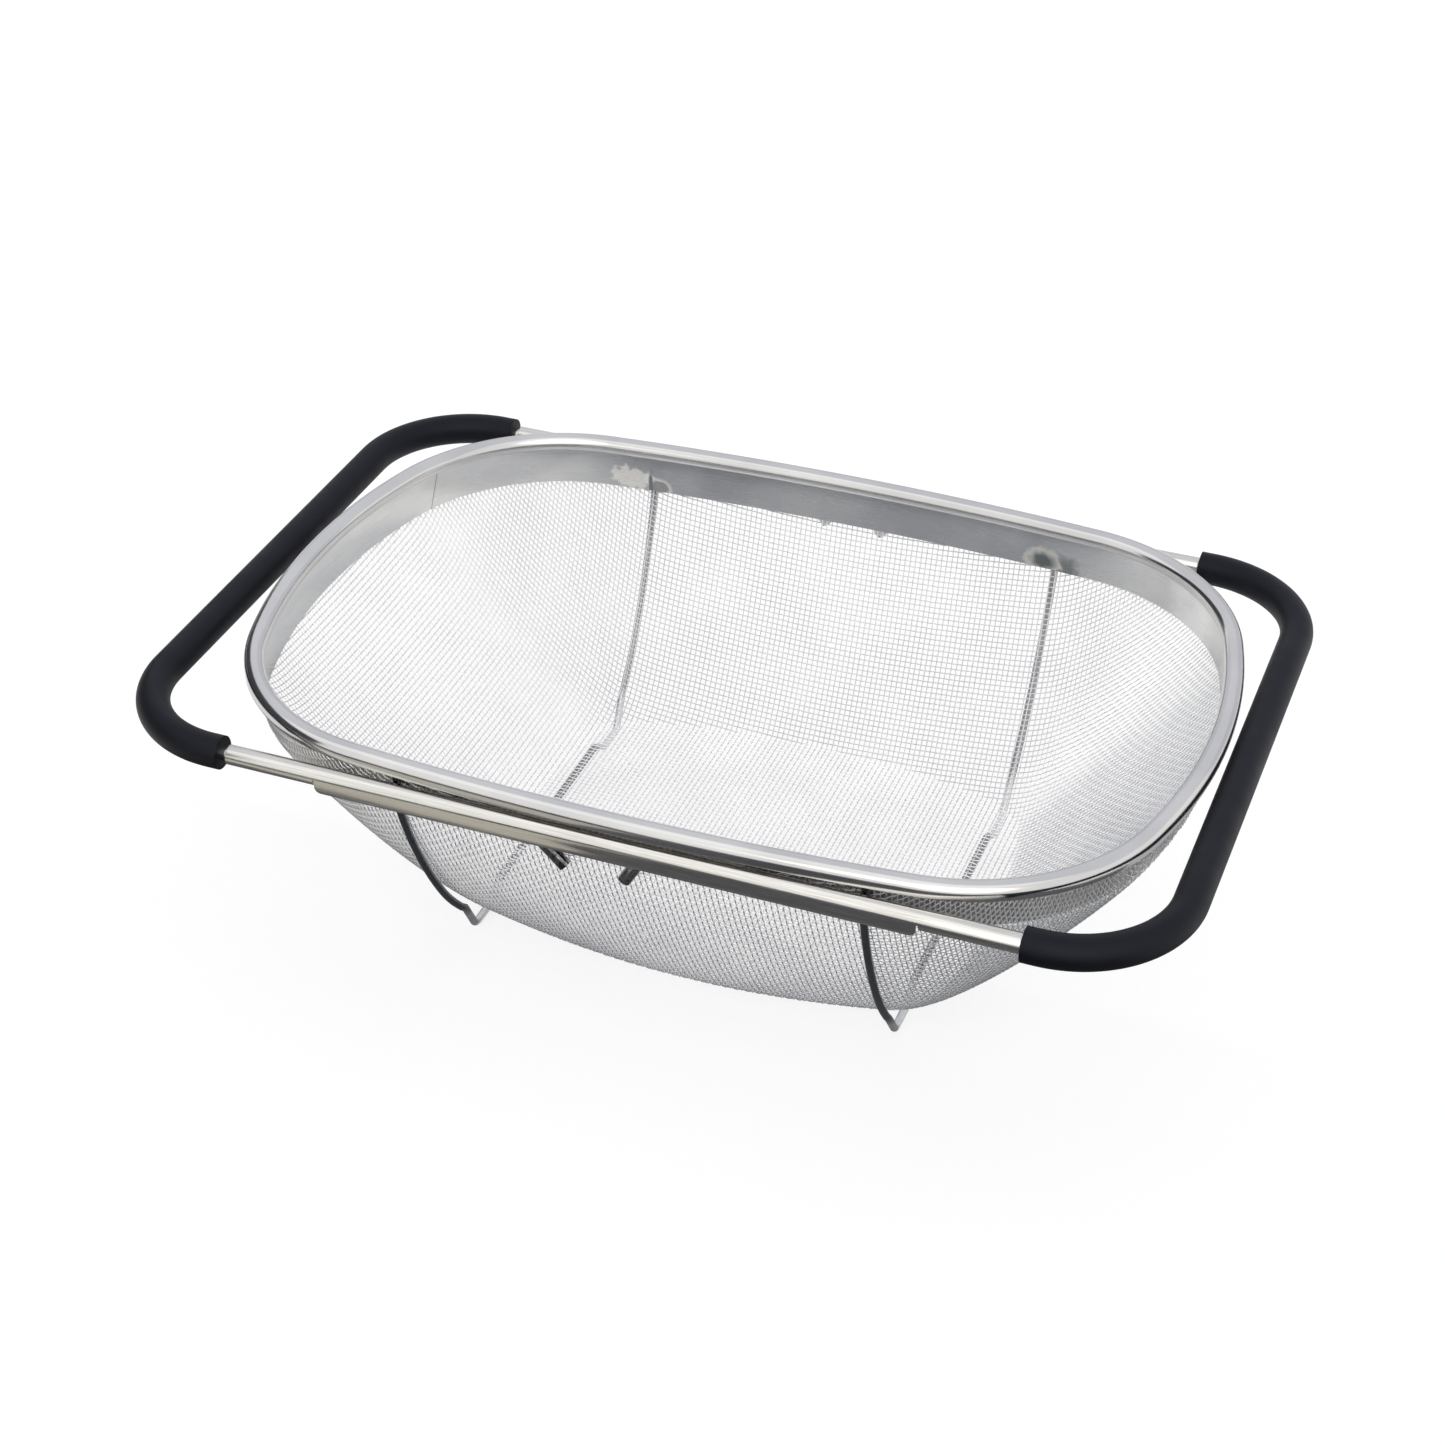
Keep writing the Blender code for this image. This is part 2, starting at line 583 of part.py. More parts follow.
def build():
    for item in list(bpy.data.objects):
        bpy.data.objects.remove(item)
    parts = bpy.data.collections.new("strainer_basket")
    cutters = bpy.data.collections.new("cutters")
    bpy.context.scene.collection.children.link(parts)
    bpy.context.scene.collection.children.link(cutters)

    steel = new_material("polished stainless strip", (0.62, 0.61, 0.60), 1.0, 0.18)
    build_rim(parts, cutters, steel)

    wire_cloth = new_material("stainless wire cloth", (0.66, 0.66, 0.67), 1.0, 0.32)
    build_mesh_basket(parts, wire_cloth)

    wire = new_material("bright stainless wire", (0.55, 0.55, 0.56), 1.0, 0.2)
    build_leg("left_leg", -1, parts, wire)
    build_leg("right_leg", 1, parts, wire)

    tube = new_material("polished stainless tube", (0.64, 0.63, 0.61), 1.0, 0.14)
    build_sleeve("front_sleeve", -SLEEVE_OFFSET, parts, cutters, tube)
    build_sleeve("back_sleeve", SLEEVE_OFFSET, parts, cutters, tube)

    rod = new_material("bright stainless rod", (0.58, 0.58, 0.58), 1.0, 0.16)
    rubber = new_material("black rubber", (0.012, 0.012, 0.014), 0.0, 0.55)
    right_slide = add_slide("right_slide", parts, 0.0, -SLEEVES_LEFT_OF_MIDDLE)
    build_handle("right", right_slide, parts, rod, rubber)
    left_slide_x = -SLEEVES_LEFT_OF_MIDDLE - LEFT_REST_DRAW
    left_slide = add_slide("left_slide", parts, math.pi, left_slide_x)
    build_handle("left", left_slide, parts, rod, rubber)

    for item in bpy.data.objects:
        if item.parent is None:
            item.location.x += BASKET_MIDDLE


build()
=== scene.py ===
import math

import bmesh
import bpy
from mathutils import Matrix, Vector
from mathutils.bvhtree import BVHTree


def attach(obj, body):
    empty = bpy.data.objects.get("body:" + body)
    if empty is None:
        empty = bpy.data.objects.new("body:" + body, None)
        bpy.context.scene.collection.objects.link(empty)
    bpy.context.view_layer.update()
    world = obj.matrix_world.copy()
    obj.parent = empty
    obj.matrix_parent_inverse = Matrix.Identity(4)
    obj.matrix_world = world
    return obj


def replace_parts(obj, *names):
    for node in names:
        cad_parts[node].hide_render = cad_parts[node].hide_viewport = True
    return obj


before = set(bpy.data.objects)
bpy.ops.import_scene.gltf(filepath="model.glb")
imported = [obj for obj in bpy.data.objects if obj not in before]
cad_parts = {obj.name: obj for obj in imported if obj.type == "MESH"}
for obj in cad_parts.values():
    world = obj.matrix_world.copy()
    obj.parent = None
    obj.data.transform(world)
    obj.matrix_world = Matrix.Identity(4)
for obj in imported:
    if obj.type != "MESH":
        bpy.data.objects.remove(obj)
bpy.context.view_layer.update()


# Camera: a 70 mm lens on a 36 mm square frame, about a metre from the basket,
# at the photograph's own angle, which was found from the handles and the rim.
camera_azimuth, camera_height = math.radians(20.888), math.radians(34.826)
camera_back = Vector((math.sin(camera_azimuth) * math.cos(camera_height),
                      -math.cos(camera_azimuth) * math.cos(camera_height),
                      math.sin(camera_height)))
camera_right = Vector((0.0, 0.0, 1.0)).cross(camera_back).normalized()
camera_turn = Matrix((camera_right, camera_back.cross(camera_right), camera_back)).transposed()
camera_turn = camera_turn @ Matrix.Rotation(math.radians(0.231), 3, "Z")
bpy.ops.object.camera_add(location=(0.3125, -0.8325, 0.6895), rotation=camera_turn.to_euler())
camera = bpy.context.object
camera.data.sensor_width = 36.0
camera.data.lens = 70.204
camera.data.clip_start = 0.05
camera.data.clip_end = 20.0
bpy.context.scene.camera = camera


# Rim: one strip of 0.5 mm stainless, bent to an oval and butt welded at the back left. Its
# upper edge is rolled outwards into a lip with a short skirt; the part below is the inner
# band that the cloth, the legs and the sleeves are spot welded to.
basket_x = 0.00395
lip_height = 0.1098
lip_radius = 0.00355
roll_end = lip_radius / 2
skirt_drop = 0.002
rim_half_length, rim_half_width = 0.1807, 0.1243
rim_side_radius, rim_end_radius, rim_corner_radius = 1.1, 0.231, 0.0775
band_depth = 0.0172
sheet = 0.0005
touching = 0.0001
end_steps, corner_steps, side_steps = 14, 40, 12
band_stops, lip_starts = 0.1074, 0.1080


def linear(code):
    """A colour written as sRGB hex, turned to linear values."""
    parts = [int(code[i:i + 2], 16) / 255 for i in (1, 3, 5)]
    return tuple(c / 12.92 if c <= 0.04045 else ((c + 0.055) / 1.055) ** 2.4 for c in parts) + (1.0,)


def add_node(material, kind, inputs=(), **settings):
    """Adds a node with its settings, and with what each of its sockets holds or is fed by."""
    node = material.node_tree.nodes.new(kind)
    for key, value in settings.items():
        setattr(node, key, value)
    for place, value in dict(inputs).items():
        if isinstance(value, bpy.types.NodeSocket):
            material.node_tree.links.new(value, node.inputs[place])
        else:
            node.inputs[place].default_value = value
    return node


def feed(material, shader, **outputs):
    """Joins outputs to the sockets of a material's main shader."""
    for name, output in outputs.items():
        material.node_tree.links.new(output, shader.inputs[name.replace("_", " ")])


def place_on_piece(material, stretch=(1.0, 1.0, 1.0), shift=(0.0, 0.0, 0.0)):
    """The place on the piece in metres, moved and then stretched for a pattern."""
    place = add_node(material, "ShaderNodeTexCoord").outputs["Object"]
    moved = add_node(material, "ShaderNodeVectorMath", {0: place, 1: shift}, operation="SUBTRACT")
    return add_node(material, "ShaderNodeVectorMath", {0: moved.outputs[0], 1: stretch},
                    operation="MULTIPLY").outputs[0]


def clouds(material, place, grains, detail, low=0.35, high=0.65):
    """Soft noise with so many grains to a metre, stretched to run from 0 to 1."""
    noise = add_node(material, "ShaderNodeTexNoise", {"Vector": place, "Scale": grains, "Detail": detail})
    return add_node(material, "ShaderNodeMapRange", {"Value": noise.outputs["Fac"], "From Min": low,
                                                     "From Max": high}).outputs["Result"]


def new_material(name, colour, metallic, roughness):
    """A material with its Principled shader at the finish's own colour and gloss."""
    material = bpy.data.materials.new(name)
    material.use_nodes = True
    shader = material.node_tree.nodes["Principled BSDF"]
    shader.inputs["Base Color"].default_value = linear(colour)
    shader.inputs["Metallic"].default_value = metallic
    shader.inputs["Roughness"].default_value = roughness
    return material, shader


def oval_arcs(half_length, half_width, side_radius, end_radius, corner_radius):
    """A quarter oval as three arcs, end, corner and side: each a centre, radius and two angles."""
    side = Vector((0.0, half_width - side_radius))
    end = Vector((half_length - end_radius, 0.0))
    between = end - side
    side_reach, end_reach = side_radius - corner_radius, end_radius - corner_radius
    along = (side_reach ** 2 - end_reach ** 2 + between.length_squared) / (2 * between.length)
    across = math.sqrt(side_reach ** 2 - along ** 2)
    corner = side + (between * along + Vector((between.y, -between.x)) * across) / between.length
    end_angle = math.atan2(corner.y - end.y, corner.x - end.x)
    side_angle = math.atan2(corner.y - side.y, corner.x - side.x)
    return ((end, end_radius, 0.0, end_angle), (corner, corner_radius, end_angle, side_angle),
            (side, side_radius, side_angle, math.pi / 2))


def select_points(test):
    """In edit mode, selects the points whose place passes the test, and what they span."""
    bpy.ops.mesh.select_mode(type="VERT")
    bpy.ops.mesh.select_all(action="DESELECT")
    shape = bmesh.from_edit_mesh(bpy.context.object.data)
    for point in shape.verts:
        if test(point.co):
            point.select = True
    shape.select_flush_mode()
    bmesh.update_edit_mesh(bpy.context.object.data)


def apply_modifier(kind, **settings):
    """Adds a modifier to the object at hand and applies it."""
    bpy.ops.object.modifier_add(type=kind)
    modifier = bpy.context.object.modifiers[-1]
    for key, value in settings.items():
        setattr(modifier, key, value)
    bpy.ops.object.modifier_apply(modifier=modifier.name)


def finish_piece(name, body, material, angle=25.0):
    """Names the object at hand, puts its place in its mesh, and ties it to its body."""
    piece = bpy.context.object
    piece.name = name
    piece.data.name = name
    bpy.ops.object.transform_apply(location=True, rotation=True, scale=True)
    bpy.ops.object.shade_smooth_by_angle(angle=math.radians(angle))
    piece.data.materials.clear()
    piece.data.materials.append(material)
    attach(piece, body)
    return piece


bpy.ops.object.select_all(action="DESELECT")
bpy.ops.mesh.primitive_circle_add(vertices=72, radius=lip_radius,
                                  location=(rim_half_length, 0.0, lip_height),
                                  rotation=(math.pi / 2, 0.0, 0.0))
bpy.ops.object.transform_apply(location=True, rotation=True, scale=True)
bpy.ops.object.mode_set(mode="EDIT")
select_points(lambda p: p.z < lip_height - roll_end - touching
              or p.x > rim_half_length and p.z < lip_height - touching)
bpy.ops.mesh.delete(type="VERT")
select_points(lambda p: p.x > rim_half_length and p.z < lip_height + touching)
bpy.ops.mesh.extrude_region_move(TRANSFORM_OT_translate={"value": (0.0, 0.0, -skirt_drop)})
select_points(lambda p: p.x < rim_half_length and p.z < lip_height - roll_end + touching)
bpy.ops.mesh.extrude_region_move(TRANSFORM_OT_translate={"value": (0.0, 0.0, roll_end - band_depth)})
bpy.ops.mesh.select_all(action="SELECT")
for (centre, radius, first, last), steps in zip(
        oval_arcs(rim_half_length, rim_half_width, rim_side_radius, rim_end_radius, rim_corner_radius),
        (end_steps, corner_steps, side_steps)):
    bpy.ops.mesh.spin(steps=steps, angle=first - last, center=(centre.x, centre.y, 0.0), axis=(0.0, 0.0, 1.0))
bpy.ops.object.mode_set(mode="OBJECT")
apply_modifier("MIRROR", use_axis=(True, True, False), merge_threshold=0.00002)
bpy.ops.object.mode_set(mode="EDIT")
bpy.ops.mesh.select_all(action="SELECT")
bpy.ops.mesh.remove_doubles(threshold=0.00001)
bpy.ops.mesh.normals_make_consistent(inside=False)
bpy.ops.object.mode_set(mode="OBJECT")
apply_modifier("SOLIDIFY", thickness=sheet, offset=0.0, use_even_offset=True)
apply_modifier("BEVEL", width=0.00012, segments=2, limit_method="ANGLE", angle_limit=math.radians(60.0))
bpy.context.object.location.x = basket_x

# The strip comes from the mill with a satin face, which the band keeps: it blurs what it
# mirrors to a soft grey. The lip is buffed, so it shows the studio as clear pale bands.
# The mill's lines run along the strip 0.4 mm apart, coarser than real ones so that they show;
# handling has dulled it in soft patches about 36 mm across.
strip_steel, strip_shader = new_material("satin stainless strip with a buffed lip", "#cfcdca", 1.0, 0.24)
spot = place_on_piece(strip_steel)
height = add_node(strip_steel, "ShaderNodeSeparateXYZ", {0: spot}).outputs["Z"]
on_band = add_node(strip_steel, "ShaderNodeMapRange", {
    "Value": height, "From Min": band_stops, "From Max": lip_starts,
    "To Min": 1.0, "To Max": 0.0}).outputs["Result"]
rolling = clouds(strip_steel, place_on_piece(strip_steel, (1.0, 1.0, 40.0)), 60.0, 3.0)
handled = clouds(strip_steel, spot, 28.0, 3.0)
band_tone = add_node(strip_steel, "ShaderNodeMix", {
    "Factor": handled, 6: linear("#b0b2b4"), 7: linear("#c4c6c5")}, data_type="RGBA").outputs[2]
lip_tone = add_node(strip_steel, "ShaderNodeMix", {
    "Factor": handled, 6: linear("#d2d1d0"), 7: linear("#dddcda")}, data_type="RGBA").outputs[2]


def smudge(material, centre, reach, soft, uneven):
    """1 in an oval patch of the strip, falling to 0 over an edge that wanders every 3 mm."""
    place = place_on_piece(material, (1 / reach[0], 0.0, 1 / reach[1]), (centre[0], 0.0, centre[1]))
    away = add_node(material, "ShaderNodeVectorMath", {0: place}, operation="LENGTH").outputs["Value"]
    wander = clouds(material, place_on_piece(material), 330.0, 2.0, 0.3, 0.7)
    bent = add_node(material, "ShaderNodeMath", {0: wander, 1: -uneven, 2: away}, operation="MULTIPLY_ADD")
    return add_node(material, "ShaderNodeMapRange", {
        "Value": bent.outputs[0], "From Min": 1.0 - uneven, "From Max": 1.0 - uneven + soft,
        "To Min": 1.0, "To Max": 0.0}).outputs["Result"]


# The band is painted lighter towards both ends, a painted reflection where its curved ends catch more light.
painted_end_reflection = add_node(strip_steel, "ShaderNodeSeparateXYZ", {0: spot}).outputs["X"]
painted_end_reflection = add_node(strip_steel, "ShaderNodeMath", {0: painted_end_reflection}, operation="ABSOLUTE").outputs[0]
painted_end_reflection = add_node(strip_steel, "ShaderNodeMapRange", {"Value": painted_end_reflection, "From Min": 0.085, "From Max": 0.125,
                                                    "To Max": 0.8}).outputs["Result"]
band_tone = add_node(strip_steel, "ShaderNodeMix", {
    "Factor": painted_end_reflection, 6: band_tone, 7: linear("#ececea")}, data_type="RGBA").outputs[2]
# Marks on the band, each with its centre and reach along X and Z. Legs and sleeves are spot
# welded on at both sides: the heat leaves pale patches and rings round a greyer core. A short dark
# line by the left leg is painted shade in the crease it makes, and the right corner has one painted
# highlight.
for centre, reach, soft, uneven, tone in (
        ((-0.0910, 0.0972), (0.0100, 0.0062), 0.3, 0.55, "#f4f2ea"),
        ((-0.0790, 0.0945), (0.0056, 0.0048), 0.3, 0.3, "#e8e6dd"),
        ((-0.0790, 0.0945), (0.0040, 0.0032), 0.3, 0.3, "#a8aaa9"),
        ((-0.0835, 0.0985), (0.0018, 0.0030), 0.6, 0.5, "#fafaf6"),
        # painted shade along the crease at the left leg
        ((-0.0827, 0.0950), (0.0006, 0.0045), 1.2, 0.2, "#868a88"),
        # painted highlight at the right corner
        ((0.1535, 0.1000), (0.0070, 0.0120), 0.9, 0.2, "#fafafa"),
        ((0.0955, 0.0955), (0.0060, 0.0040), 0.8, 0.6, "#8f9391"),
        ((0.0875, 0.0960), (0.0078, 0.0058), 0.3, 0.3, "#e0dfd6"),
        ((0.0875, 0.0960), (0.0056, 0.0042), 0.4, 0.3, "#b4b6b2"),
        ((0.0875, 0.0960), (0.0036, 0.0030), 0.5, 0.4, "#737a79")):
    patch = smudge(strip_steel, centre, reach, soft, uneven)
    band_tone = add_node(strip_steel, "ShaderNodeMix", {
        "Factor": patch, 6: band_tone, 7: linear(tone)}, data_type="RGBA").outputs[2]
# The strip's two ends meet in a fine dark line at the back left, a little off upright.
across = place_on_piece(strip_steel, shift=(-0.1602, 0.0740, 0.1075))
across = add_node(strip_steel, "ShaderNodeVectorMath", {0: across, 1: (-0.392, -0.880, 0.268)},
                  operation="DOT_PRODUCT").outputs["Value"]
across = add_node(strip_steel, "ShaderNodeMath", {0: across}, operation="ABSOLUTE").outputs[0]
seam = add_node(strip_steel, "ShaderNodeMapRange", {"Value": across, "From Min": 0.00012, "From Max": 0.0004,
                                                    "To Min": 0.6, "To Max": 0.0}).outputs["Result"]
left_only = add_node(strip_steel, "ShaderNodeSeparateXYZ", {0: spot}).outputs["X"]
left_only = add_node(strip_steel, "ShaderNodeMath", {0: left_only, 1: -0.14},
                     operation="LESS_THAN").outputs[0]
seam = add_node(strip_steel, "ShaderNodeMath", {0: seam, 1: left_only}, operation="MULTIPLY").outputs[0]
band_tone = add_node(strip_steel, "ShaderNodeMix", {
    "Factor": seam, 6: band_tone, 7: linear("#55585a")}, data_type="RGBA").outputs[2]
strip_tone = add_node(strip_steel, "ShaderNodeMix", {
    "Factor": on_band, 6: lip_tone, 7: band_tone}, data_type="RGBA").outputs[2]
band_gloss = add_node(strip_steel, "ShaderNodeMapRange", {
    "Value": rolling, "To Min": 0.18, "To Max": 0.28}).outputs["Result"]
lip_gloss = add_node(strip_steel, "ShaderNodeMapRange", {
    "Value": handled, "To Min": 0.14, "To Max": 0.20}).outputs["Result"]
strip_gloss = add_node(strip_steel, "ShaderNodeMix", {
    "Factor": on_band, 2: lip_gloss, 3: band_gloss}).outputs[0]
mill_lines = add_node(strip_steel, "ShaderNodeBump", {
    "Height": rolling, "Distance": 0.0000004}).outputs["Normal"]
feed(strip_steel, strip_shader, Base_Color=strip_tone, Roughness=strip_gloss, Normal=mill_lines)
rim = finish_piece("rim_strip", "basket", strip_steel)
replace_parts(rim, "rim")


# Wire cloth: plain woven stainless, 0.5 mm wire at a pitch of 2.2 mm, pressed from one flat
# sheet into a bowl. It keeps its wires' spacing and shears at the corners, as a net does.
# Its edge is held outside the band, under the lip.
pitch = 0.0022
wire_radius = 0.00025
cloth_top = lip_height - 0.0015
floor_height = 0.009
floor_to_right = 0.005
net_above_rim = 3 * pitch
# Half length, half width, and the radii of side, end and corner, at the band and at the floor.
cloth_at_band = (0.1787, 0.1223, 1.098, 0.229, 0.0755)
cloth_at_floor = (0.098, 0.0793, 0.3, 0.25, 0.0226)
# Steps along the end, the corner and the side of a quarter ring.
ring_steps = (8, 20, 8)
# How straight the pressed wall falls, and how round it turns into the floor.
side_wall = {"draft": 0.385, "power": 1.285}
end_wall = {"draft": 0.655, "power": 1.3}


def wall_inset(depth, draft, power):
    """Share of the way in at a share of the depth: part straight draft, part round."""
    return draft * depth + (1 - draft) * (1 - max(0.0, 1 - depth ** power) ** (1 / power))


def bowl_ring(depth):
    """Outline of the bowl at a share of its depth below the band, as points."""
    side, end = wall_inset(depth, **side_wall), wall_inset(depth, **end_wall)
    quarter = []
    arcs = oval_arcs(*(top + (low - top) * share for top, low, share in zip(
        cloth_at_band, cloth_at_floor, (end, side, depth, depth, depth))))
    for (centre, radius, first, last), steps in zip(arcs, ring_steps):
        for step in range(0 if not quarter else 1, steps + 1):
            angle = first + (last - first) * step / steps
            quarter.append((centre.x + radius * math.cos(angle), centre.y + radius * math.sin(angle)))
    half = quarter + [(-x, y) for x, y in reversed(quarter[:-1])]
    ring = half + [(x, -y) for x, y in reversed(half[1:-1])]
    band_foot = lip_height - band_depth
    height = band_foot + (floor_height - band_foot) * depth
    return [Vector((x + basket_x + floor_to_right * depth, y, height)) for x, y in ring]


def bowl_surface():
    """The bowl's form as a fine skin that points can be put on."""
    levels, collar = 60, 0.05
    rings = [bowl_ring(math.sin(math.pi / 2 * step / levels)) for step in range(levels + 1)]
    rings.insert(0, [point + Vector((0.0, 0.0, collar)) for point in rings[0]])
    points = [point for ring in rings for point in ring]
    points.append(Vector((basket_x + floor_to_right, 0.0, floor_height)))
    count = len(rings[0])
    faces = []
    for level in range(len(rings) - 1):
        for here in range(count):
            there = (here + 1) % count
            faces.append((level * count + here, (level + 1) * count + here,
                          (level + 1) * count + there, level * count + there))
    start = (len(rings) - 1) * count
    faces += [(start + here, len(points) - 1, start + (here + 1) % count) for here in range(count)]
    return BVHTree.FromPolygons(points, faces)


bowl = bowl_surface()


def settle(guess, first, second):
    """Moves a crossing onto the bowl, a pitch away from the crossings before it on both wires."""
    nearly_in_line = 0.15 * pitch * pitch
    point = guess
    for _ in range(5):
        near, normal, _, _ = bowl.find_nearest(point)
        a, b = point - first, point - second
        volume = a.dot(b.cross(normal))
        if abs(volume) < nearly_in_line:
            return near
        point = point + (b.cross(normal) * ((pitch * pitch - a.dot(a)) / 2)
                         + normal.cross(a) * ((pitch * pitch - b.dot(b)) / 2)
                         + a.cross(b) * normal.dot(near - point)) / volume
    return bowl.find_nearest(point)[0]


def march(start, way):
    """Crossings along a middle wire from the floor's middle up to above the rim."""
    line = [start]
    step = Vector(way) * pitch
    while line[-1].z < cloth_top + net_above_rim:
        near = bowl.find_nearest(line[-1] + step)[0]
        step = (near - line[-1]).normalized() * pitch
        line.append(line[-1] + step)
    return line


def lay_net():
    """All crossings of the cloth by their column and row from the floor's middle."""
    middle = Vector((basket_x + floor_to_right, 0.0, floor_height))
    net = {}
    for side in (1, -1):
        for count, point in enumerate(march(middle, (side, 0.0, 0.0))):
            net[side * count, 0] = point
        for count, point in enumerate(march(middle, (0.0, side, 0.0))):
            net[0, side * count] = point
    for across in (1, -1):
        for up in (1, -1):
            row = 1
            while (0, up * row) in net:
                column = 1
                while True:
                    here = (across * column, up * row)
                    first = net.get((across * (column - 1), up * row))
                    second = net.get((across * column, up * (row - 1)))
                    third = net.get((across * (column - 1), up * (row - 1)))
                    if not (first and second and third):
                        break
                    point = settle(first + second - third, first, second)
                    if point.z > cloth_top + net_above_rim:
                        break
                    net[here] = point
                    column += 1
                row += 1
    return net


net = lay_net()


def weave(name, along, keep):
    """The wires of one direction that the test keeps, as four-sided strands in one mesh."""
    above_bowl = Vector((basket_x, 0.0, 0.15))
    lines = {}
    for column, row in net:
        lines.setdefault(row if along == (1, 0) else column, []).append((column, row))
    points, faces = [], []
    for places in lines.values():
        ring = None
        for place in sorted(places):
            here = net[place]
            if here.z > cloth_top or not keep(here):
                ring = None
                continue
            before = net.get((place[0] - along[0], place[1] - along[1]), here)
            after = net.get((place[0] + along[0], place[1] + along[1]), here)
            tangent = (after - before).normalized()
            out = bowl.find_nearest(here)[1]
            out = (out - tangent * out.dot(tangent)).normalized()
            if out.dot(here - above_bowl) < 0:
                out = -out
            beside = tangent.cross(out)
            sign = 1 if (place[0] + place[1] + (along == (1, 0))) % 2 else -1
            centre = here + out * wire_radius * sign
            start = len(points)
            points += [centre + out * wire_radius, centre + beside * wire_radius,
                       centre - out * wire_radius, centre - beside * wire_radius]
            if ring is None:
                faces.append((start, start + 1, start + 2, start + 3))
            else:
                faces += [(ring + k, start + k, start + (k + 1) % 4, ring + (k + 1) % 4) for k in range(4)]
            ring = start
    mesh = bpy.data.meshes.new(name)
    mesh.from_pydata(points, [], faces)
    strands = bpy.data.objects.new(name, mesh)
    bpy.context.scene.collection.objects.link(strands)
    bpy.ops.object.select_all(action="DESELECT")
    bpy.context.view_layer.objects.active = strands
    strands.select_set(True)
    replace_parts(finish_piece(name, "basket", cloth_steel, 80.0), "mesh_basket")


# Bright annealed wire: pale, with the soft gloss that annealing leaves. The pressing has rubbed
# it in patches about 25 mm across, and its draw marks, 0.4 mm long, are coarser than real ones
# so that they show.
cloth_steel, cloth_shader = new_material("woven annealed stainless wire", "#e2e2e3", 1.0, 0.3)
rubbed = clouds(cloth_steel, place_on_piece(cloth_steel), 40.0, 3.0)
drawn = clouds(cloth_steel, place_on_piece(cloth_steel), 2500.0, 1.0)
cloth_tone = add_node(cloth_steel, "ShaderNodeMix", {
    "Factor": rubbed, 6: linear("#f0f0f1"), 7: linear("#fafafa")}, data_type="RGBA").outputs[2]
cloth_gloss = add_node(cloth_steel, "ShaderNodeMapRange", {
    "Value": drawn, "To Min": 0.44, "To Max": 0.54}).outputs["Result"]
feed(cloth_steel, cloth_shader, Base_Color=cloth_tone, Roughness=cloth_gloss)
weave("cloth_long_wires_front", (1, 0), lambda p: p.y < 0.0)
weave("cloth_long_wires_back", (1, 0), lambda p: p.y >= 0.0)
weave("cloth_cross_wires_left", (0, 1), lambda p: p.x < basket_x)
weave("cloth_cross_wires_right", (0, 1), lambda p: p.x >= basket_x)


# Legs: each one a bent 3 mm wire, from the band at the front down outside the cloth, into a
# foot, along under the floor and up again at the back. Both lean a little out to the rim.
leg_radius = 0.0015
leg_stand_off = 0.0018
leg_top_below_lip = 0.002
leg_spacing = 0.0854
leg_lean = 0.0021
legs_to_right = 0.001
leg_leaves_cloth = 0.0145
leg_bow = 0.0028
foot_heel, foot_toe, foot_rise_end = 0.0705, 0.0575, 0.047
foot_wire_height = 0.00139
leg_below_floor = 0.0003
leg_bend = 0.004

# Bright drawn wire: nearly a mirror, with faint draw marks that soften its edges of light,
# 0.55 mm apart and so coarser than real ones, to show. Its colour is painted darker at the front, a
# painted reflection of the dark ground, and the feet are painted pale, a painted highlight, and are less
# sharp.
leg_steel, leg_shader = new_material("bright drawn stainless wire", "#8a8b8d", 1.0, 0.14)
marks = clouds(leg_steel, place_on_piece(leg_steel, (1.0, 1.0, 0.15)), 1800.0, 2.0)
leg_place = add_node(leg_steel, "ShaderNodeSeparateXYZ", {0: place_on_piece(leg_steel)}).outputs
low = add_node(leg_steel, "ShaderNodeMapRange", {
    "Value": leg_place["Z"], "From Min": 0.010, "From Max": 0.018,
    "To Min": 1.0, "To Max": 0.0}).outputs["Result"]
away = add_node(leg_steel, "ShaderNodeMath", {0: leg_place["Y"]}, operation="ABSOLUTE").outputs[0]
away = add_node(leg_steel, "ShaderNodeMapRange", {
    "Value": away, "From Min": 0.046, "From Max": 0.052}).outputs["Result"]
on_foot = add_node(leg_steel, "ShaderNodeMath", {0: low, 1: away}, operation="MULTIPLY").outputs[0]
# painted reflection: the wire is painted darker at the front and lighter at the back
painted_reflection_front_to_back = add_node(leg_steel, "ShaderNodeMapRange", {
    "Value": leg_place["Y"], "From Min": -0.05, "From Max": 0.02}).outputs["Result"]
front_painted_reflection_tone = add_node(leg_steel, "ShaderNodeMix", {
    "Factor": marks, 6: linear("#727376"), 7: linear("#858689")}, data_type="RGBA").outputs[2]
back_painted_reflection_tone = add_node(leg_steel, "ShaderNodeMix", {
    "Factor": marks, 6: linear("#a2a3a5"), 7: linear("#b4b5b7")}, data_type="RGBA").outputs[2]
wire_tone = add_node(leg_steel, "ShaderNodeMix", {
    "Factor": painted_reflection_front_to_back, 6: front_painted_reflection_tone, 7: back_painted_reflection_tone}, data_type="RGBA").outputs[2]
# painted highlight: the feet are painted near white
leg_tone = add_node(leg_steel, "ShaderNodeMix", {
    "Factor": on_foot, 6: wire_tone, 7: linear("#fdfdfd")}, data_type="RGBA").outputs[2]
wire_gloss = add_node(leg_steel, "ShaderNodeMapRange", {
    "Value": marks, "To Min": 0.08, "To Max": 0.20}).outputs["Result"]
foot_gloss = add_node(leg_steel, "ShaderNodeMapRange", {
    "Value": marks, "To Min": 0.40, "To Max": 0.52}).outputs["Result"]
leg_gloss = add_node(leg_steel, "ShaderNodeMix", {
    "Factor": on_foot, 2: wire_gloss, 3: foot_gloss}).outputs[0]
feed(leg_steel, leg_shader, Base_Color=leg_tone, Roughness=leg_gloss)


